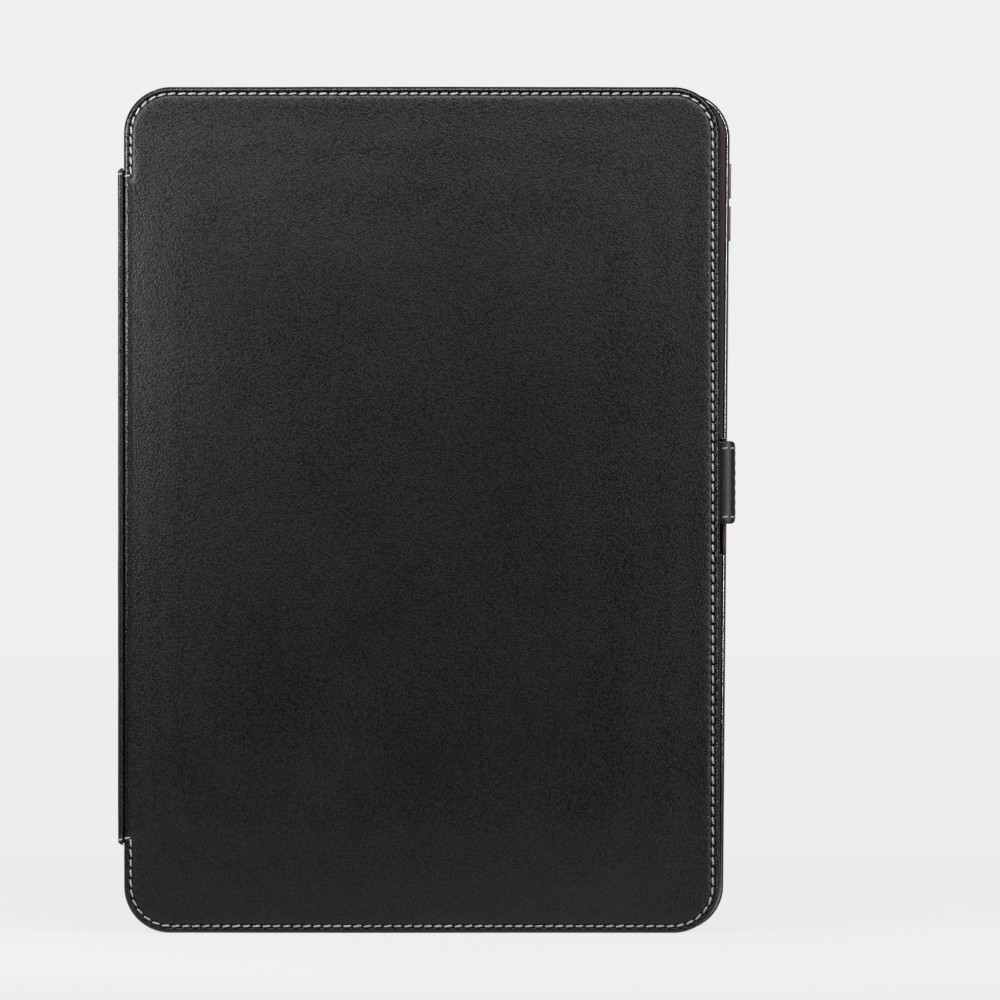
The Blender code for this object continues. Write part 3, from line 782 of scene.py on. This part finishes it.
def along_path(path, closed=False):
    """Even stitches along a path of points."""
    spots = path + [path[0]] if closed else path
    lengths = [0.0]
    for a, b in zip(spots, spots[1:]):
        lengths.append(lengths[-1] + (b - a).length)
    count = max(1, round(lengths[-1] / STITCH_PITCH))
    made = []
    for k in range(count + 1):
        target = lengths[-1] * k / count
        i = min(max(1, int(np.searchsorted(lengths, target - 1e-12))), len(lengths) - 1)
        span = lengths[i] - lengths[i - 1]
        made.append(spots[i - 1].lerp(spots[i], (target - lengths[i - 1]) / span))
    return list(zip(made, made[1:]))


def make_spine(leather, lining, thread):
    """The soft spine: one skin turned in at both sides, its lining, and the hinges on to the covers."""
    left, front, back = SPINE_LOW.x, SPINE_LOW.y, SPINE_HIGH.y
    r = 0.75 * MM
    outer = [(left + x * MM, front + y * MM) for x, y in ((1.35, 1.1), (1.4, 0.5), (1.2, 0.02))]
    outer += arc(left + r, front + r - 0.12 * MM, r, -62, -180, 7)
    outer += line((left - 0.02 * MM, front + r), (left - 0.02 * MM, back - r), 14)[1:]
    outer += [(x, -y) for x, y in reversed(outer[:10])]
    inner = []
    for x, y in outer:
        towards = Vector((left + 1.9 * MM - x, -y * 0.25)).normalized() * 0.55 * MM
        inner.append((x + max(0.12 * MM, towards.x), y - math.copysign(0.1 * MM, y)))
    ends = [0.8 * MM * max(0.0, 1 - (x - left) / (1.3 * MM)) ** 2 for x, _ in outer]
    low, high = SPINE_LOW.z, SPINE_HIGH.z
    skin = wrap("spine_skin", outer, inner, low, high, leather, 90, trim=ends, sag=0.12 * MM, seed=3)
    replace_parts(skin, "spine_leather")
    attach(skin, "spine")

    low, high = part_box("spine_lining")
    mid, half = (low.x + high.x) / 2, (high.x - low.x) / 2 * 0.9
    rows = 16
    swell = [0.1 * MM * math.sin(math.pi * k / rows) for k in range(rows + 1)]
    path = [(mid + s, y) for s, y in zip(swell, np.linspace(low.y, high.y, rows + 1))]
    inner, outer = [(x - half, y) for x, y in path], [(x + half, y) for x, y in path]
    cloth = wrap("spine_lining_cloth", outer, inner, low.z, high.z, lining, 60, sag=0.05 * MM, seed=8)
    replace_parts(cloth, "spine_lining")
    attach(cloth, "spine")

    make_hinge("front", -1, FRONT_LOW.y, leather, thread)
    make_hinge("back", 1, BACK_HIGH.y, leather, thread)


def make_hinge(side, sign, y, leather, thread):
    """The folded strip between the spine and a cover, and the thin stitch at each of its ends."""
    edge_x = FRONT_LOW.x
    fold = ((-1.0, 0.6), (-0.85, 1.3), (-0.6, 1.9), (-0.3, 2.1), (-0.05, 1.9), (0.2, 1.4))
    path = [(edge_x + across * MM, y - sign * deep * MM) for across, deep in fold]
    under = [(px + 0.05 * MM, py - sign * 0.45 * MM) for px, py in path]
    low, high = SPINE_LOW.z + 0.5 * MM, SPINE_HIGH.z - 0.5 * MM
    strip = wrap(side + "_hinge_leather", path, under, low, high, leather, 80, sag=0.06 * MM, seed=5)
    if side == "front":
        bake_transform(strip)
    else:
        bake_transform(strip)

    # The stitches stand a little beyond the covers' own, so that they pass when the case is folded.
    runs = []
    for height in (NOTCH_TOP + 0.55 * MM, NOTCH_BOTTOM - 0.55 * MM):
        p = Vector((edge_x - 0.45 * MM, y - sign * 0.32 * MM, height))
        q = Vector((SPINE_LOW.x - 0.1 * MM, y - sign * 0.5 * MM, height))
        runs.append(([(p, q)], Vector((0, sign, 0)), LOW_RISE))
    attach(sew(side + "_spine_stitches", runs, thread), "spine")


def strap_runs(outer, cx, cy, bend, dome):
    """The strap's stitches: a row near each edge, round the bend, and one across the end."""
    low, high = TAB_LOW.z + STITCH_INSET, TAB_HIGH.z - STITCH_INSET
    ahead, aside = Vector((0, -1, 0)), Vector((1, 0, 0))
    path = [p for p in outer[4:] if p[1] < TAB_HIGH.y - STITCH_INSET]
    flat = [p for p in path if p[1] < ROOT_LOW.y + 1e-6]
    turned = [p for p in path if p[1] >= cy - 1e-6]
    runs = []
    for z in (low, high):
        runs.append((along_path([Vector((x, y + 0.1 * MM, z)) for x, y in flat]), ahead, STITCH_RISE))
        runs.append((along_path([Vector((x - 0.26 * MM, y, z)) for x, y in turned]), aside, STITCH_RISE))
        bent = []
        for share in (0.0, 0.42, 0.8, 1.0):
            a = share * math.pi / 2
            x, y = cx + (dome - 0.12 * MM) * math.sin(a), cy - (bend - 0.1 * MM) * math.cos(a)
            bent.append(Vector((x, y, z)))
        for start, end, degrees in zip(bent, bent[1:], (12, 38, 72)):
            tilt = math.radians(degrees)
            up = Vector((math.sin(tilt), -math.cos(tilt), 0))
            runs.append(([(start, end)], up, STITCH_RISE))
    across = [Vector((TAB_HIGH.x - 0.1 * MM, turned[-1][1], z)) for z in (low, high)]
    runs.append((along_path(across), aside, STITCH_RISE))
    return runs


def make_strap(leather, lining, thread):
    """The closing strap: flat under the cover, bent round the side, and thicker over its magnet."""
    right, out_y = TAB_HIGH.x, ROOT_LOW.y
    # The bend is a quarter of an ellipse round (cx, cy).
    bend, dome = 2.8 * MM, 4.4 * MM
    cx, cy = right - dome, out_y + bend
    outer = line((ROOT_LOW.x, out_y), (cx, out_y), 14)
    for a in np.linspace(0, math.pi / 2, 17):
        outer.append((cx + dome * math.sin(a), cy - bend * math.cos(a)))
    tip = TAB_HIGH.y - 0.05 * MM
    outer += line((right, cy), (right, TAB_HIGH.y), 14)[1:] + [(right - 0.1 * MM, tip)]
    step, knee = (TAB_LOW.x - 0.3 * MM, ROOT_HIGH.y), (TAB_LOW.x, ROOT_HIGH.y + 0.35 * MM)
    inner = line((ROOT_LOW.x, ROOT_HIGH.y), step, 14) + line(step, knee, 16) + [knee]
    inner += line(knee, (TAB_LOW.x, TAB_HIGH.y), 14)[1:] + [(TAB_LOW.x + 0.1 * MM, tip)]
    # Round the strap's end: it narrows over its last millimetres.
    radius = 2.6 * MM
    trim = []
    for x, y in outer:
        into = max(0.0, y - (TAB_HIGH.y - radius)) if x > cx else 0.0
        trim.append(radius - math.sqrt(max(0.0, radius ** 2 - into ** 2)))
    strap = wrap("strap_leather", outer, inner, TAB_LOW.z, TAB_HIGH.z, leather, 26, trim=trim, seed=12)
    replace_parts(strap, "strap_root", "strap_tab_leather")
    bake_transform(strap)
    runs = strap_runs(outer, cx, cy, bend, dome)
    seam = sew("strap_stitching", runs, thread, THREAD_RADIUS * 0.9)
    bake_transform(seam)

    low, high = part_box("strap_tab_lining")
    ys = np.linspace(low.y, high.y, 9)
    inner, outer = [(low.x - 0.03 * MM, y) for y in ys], [(high.x, y) for y in ys]
    trim = [t * MM for t in (0.8, 0.3, 0.08, 0, 0, 0, 0.08, 0.3, 0.8)]
    pad = wrap(
        "strap_lining_patch", outer, inner, low.z, high.z, lining, 20,
        trim=trim, sag=0.03 * MM, seed=21,
    )
    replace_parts(pad, "strap_tab_lining")
    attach(pad, "strap_tab")


def tray_outline(inset):
    """The tray's outline inset by a distance, and where it stands, as (x, z) points. It starts just
    above the side window and ends just below it, so a piece that follows it leaves the window open."""
    low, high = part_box("tray_frame")
    half_w, half_h, radius = 90.5 * MM - inset, 126.7 * MM - inset, 13.6 * MM - inset
    across, up, steps = half_w - radius, half_h - radius, 12
    window_top, window_bottom = 22.3 * MM, -12.9 * MM
    local = [(half_w, window_top + (up - window_top) * k / steps) for k in range(steps)]
    local += rounded_corners(across, up, radius, steps)
    local += [(half_w, -up + (window_bottom + up) * k / steps) for k in range(1, steps + 1)]
    return leaned(local, (low.x + high.x) / 2, (low.z + high.z) / 2)


def follow_tray(name, profile, material):
    """A strip round the tray's front. The profile is a closed loop of (inset, y) points."""
    lines = [tray_outline(inset) for inset, _ in profile]
    count, stations = len(profile), len(lines[0])
    points = []
    for k in range(stations):
        points += [Vector((spots[k][0], y, spots[k][1])) for spots, (_, y) in zip(lines, profile)]
    faces = ring_faces(stations, count) + [cap(0, count), cap((stations - 1) * count, count)]
    made = link_mesh(name, points, faces, material)
    made.data.set_sharp_from_angle(angle=math.radians(60))
    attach(made, "back_cover")
    return made


def make_sill(front, rubber):
    """The soft lip goes on along the floor of the side window, as a thin rounded strip."""
    (top_x, top_z), (bottom_x, bottom_z) = tray_outline(0.0)[0], tray_outline(0.0)[-1]
    floor_y = front + 4.5 * MM
    gap = 0.1 * MM
    # Its section, as (inset, height above the window's floor) in mm.
    profile = [
        (-0.15, 0.3), (-0.17, -0.05), (0.05, -0.28), (0.4, -0.34), (0.8, -0.3), (1.04, -0.12), (1.15, 0.3),
        (1.35, 1.2), (1.75, 1.95), (2.3, 2.36), (2.3, 2.52), (0.95, 2.52), (0.95, 0.3),
    ]
    points = []
    steps = 12
    for k in range(steps + 1):
        x = bottom_x + (top_x - bottom_x) * k / steps
        z = bottom_z + gap + (top_z - bottom_z - 2 * gap) * k / steps
        points += [Vector((x - inset * MM, floor_y + rise * MM, z)) for inset, rise in profile]
    count = len(profile)
    faces = ring_faces(steps + 1, count) + [cap(0, count), cap(steps * count, count)]
    # Its rubber is the lip's rubber made lighter: painted light on the shaded floor of the window.
    sill = link_mesh("side_window_sill", points, faces, rubber)
    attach(sill, "back_cover")


def make_tray_front(shell, rubber, sill_rubber_painted_light):
    """The glossy rounded rim of the tray, and the soft lip that lies inside it."""
    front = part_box("tray_frame")[0].y
    bead = []
    for a in np.linspace(1.45, -0.15, 12):
        bead.append((0.9 * MM - 0.48 * MM * math.sin(a), front + 0.12 * MM - 0.36 * MM * math.cos(a)))
    foot = front + 0.9 * MM
    follow_tray("tray_rim", bead + [(1.02 * MM, foot), (0.42 * MM, foot)], shell)
    make_sill(front, sill_rubber_painted_light)
    top, foot = front - 0.22 * MM, front + 0.7 * MM
    lip = [(1.2 * MM, foot), (1.2 * MM, top + 0.35 * MM), (1.4 * MM, top + 0.1 * MM), (1.7 * MM, top)]
    lip += [(2.6 * MM, top + 0.02 * MM), (3.2 * MM, top + 0.06 * MM), (3.6 * MM, top + 0.3 * MM)]
    lip.append((3.65 * MM, foot))
    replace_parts(follow_tray("soft_lip", lip, rubber), "tray_lip")


def dress(names, material):
    """Give carried-over CAD nodes a material."""
    for name in names:
        for place in frame["nodes"][name].material_slots:
            place.material = material


def make_floor():
    """A wide pale floor. It looks even to the camera, but gives no light from in front."""
    m = Nodes("pale_paper")
    m.set(Roughness=0.9, Specular_IOR_Level=0.0, Emission_Color=(1, 1, 1, 1))
    place = m.add("ShaderNodeSeparateXYZ")
    m.link(m.place, place.inputs["Vector"])
    away = m.add("ShaderNodeVectorMath", operation="LENGTH")
    m.link(m.place, away.inputs[0])
    away = away.outputs["Value"]
    # It is black far out, so that the lights above it leave no bright patches.
    m.colour(away, (0.22, (0.048, 0.048, 0.048)), (0.4, (0.003, 0.003, 0.003)))
    seen = m.remap(away, 0.08, 0.6, 0.785, 0.848)
    given = m.remap(place.outputs["Y"], -0.15, -0.13, 0.0, 0.78)
    rays = m.add("ShaderNodeLightPath")
    strength = m.add("ShaderNodeMix")
    m.link(rays.outputs["Is Camera Ray"], strength.inputs["Factor"])
    m.link(given, strength.inputs["A"])
    m.link(seen, strength.inputs["B"])
    m.link(strength.outputs["Result"], m.shader.inputs["Emission Strength"])
    steps, half = 24, 4.0
    marks = [half * (2 * k / steps - 1) for k in range(steps + 1)]
    points = [(x, y, 0.0) for y in marks for x in marks]
    floor = link_mesh("studio_floor", points, ring_faces(steps + 1, steps + 1, False), m.material)


def area_light(name, place, target, size, power):
    """A rectangular light that the camera doesn't see, turned towards the target."""
    data = bpy.data.lights.new(name, "AREA")
    data.shape = "RECTANGLE"
    data.size, data.size_y = size
    data.energy = power
    light = bpy.data.objects.new(name, data)
    light.location = place
    light.rotation_euler = (Vector(target) - Vector(place)).to_track_quat("-Z", "Y").to_euler()
    light.visible_camera = False
    bpy.context.scene.collection.objects.link(light)


def make_camera():
    """A long lens, level with the middle of the case and straight in front of it."""
    distance, width, sensor = 2.2, 0.302, 36.0
    data = bpy.data.cameras.new("camera")
    data.sensor_width = sensor
    data.lens = sensor * distance / width
    data.clip_start, data.clip_end = 0.05, 20.0
    camera = bpy.data.objects.new("camera", data)
    camera.location = (0.0221, FRONT_LOW.y - distance, 0.1308)
    camera.rotation_euler = (math.pi / 2, 0, 0)
    bpy.context.scene.collection.objects.link(camera)
    bpy.context.scene.camera = camera


def make_world():
    """A pale backdrop to the camera that is dim as a light."""
    world = bpy.data.worlds.new("studio")
    world.use_nodes = True
    tree = world.node_tree
    seen = tree.nodes["Background"]
    seen.inputs["Color"].default_value = (0.863, 0.863, 0.863, 1)
    dim = tree.nodes.new("ShaderNodeBackground")
    dim.inputs["Color"].default_value = (1, 1, 1, 1)
    dim.inputs["Strength"].default_value = 0.02
    rays = tree.nodes.new("ShaderNodeLightPath")
    mix = tree.nodes.new("ShaderNodeMixShader")
    tree.links.new(rays.outputs["Is Camera Ray"], mix.inputs["Fac"])
    tree.links.new(dim.outputs["Background"], mix.inputs[1])
    tree.links.new(seen.outputs["Background"], mix.inputs[2])
    tree.links.new(mix.outputs["Shader"], tree.nodes["World Output"].inputs["Surface"])
    bpy.context.scene.world = world


def make_studio():
    """Camera, backdrop, and soft lights above, at both sides and behind."""
    bpy.context.scene.view_settings.view_transform = "Standard"
    make_camera()
    make_world()
    area_light("overhead_softbox", (0.03, -0.2, 0.45), (0.02, 0, 0.18), (0.45, 0.16), 1.95)
    area_light("left_softbox", (-0.27, -0.18, 0.25), (-0.09, 0, 0.19), (0.12, 0.2), 1.35)
    area_light("right_strip", (0.42, -0.36, 0.28), (0.09, 0, 0.2), (0.03, 0.46), 2.6)
    area_light("back_softbox", (-0.45, 0.85, 0.95), (0.0, 0, 0.15), (0.5, 0.4), 3.6)


def main():
    leather = leather_material("black_leather")
    lining = lining_material()
    thread = thread_material()
    make_covers(leather, thread)
    make_linings(lining)
    make_window_edge(leather, thread)
    make_spine(leather, lining, thread)
    make_strap(leather_material("strap_leather_grain", 0.8, 0.45), lining, thread)
    shell = shell_material()
    # The sill's rubber is the lip's rubber 4.5 times lighter: painted light on the shaded window floor.
    make_tray_front(shell, lip_material("soft_lip_rubber"), lip_material("sill_rubber_painted_light", 4.5))
    dress(["tray_frame"], frame_material())
    dress(["tray_floor"], floor_panel_material())
    dress(["volume_up_cover", "volume_down_cover", "power_button_cover"], button_material())
    dress(["front_board", "back_board"], board_material())
    dress(["wake_magnet_upper", "wake_magnet_lower", "strap_tab_magnet"], magnet_material())
    make_floor()
    make_studio()


main()
